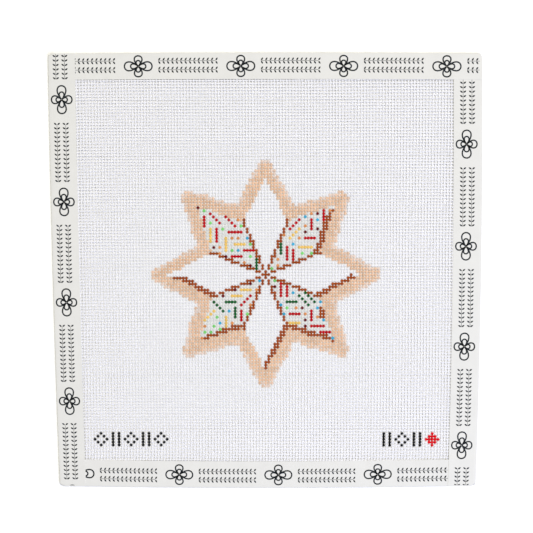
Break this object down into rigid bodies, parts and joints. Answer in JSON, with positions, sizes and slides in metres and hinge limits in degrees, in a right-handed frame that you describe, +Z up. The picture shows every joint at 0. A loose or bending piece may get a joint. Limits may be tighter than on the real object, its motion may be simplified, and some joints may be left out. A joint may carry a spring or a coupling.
{
  "type": "needlepoint canvas",
  "caption": "Square of open needlepoint canvas with a painted star biscuit design, its raw edges bound in folded tape, lying flat.",
  "frame": {"origin": "on the table, under the middle of the outline", "axes": "+X to the right across the painted side, +Y to the top of the design, +Z up out of the painted side"},
  "size_m": [0.198, 0.2023, 0.0023],
  "materials": {
    "canvas": "sized white cotton mono canvas, open square mesh",
    "tape": "matt off-white cotton binding tape"
  },
  "bodies": {
    "root": {"canvas": "canvas", "tape_bottom": "tape", "tape_right": "tape", "tape_top": "tape", "tape_left": "tape"}
  },
  "joints": []
}
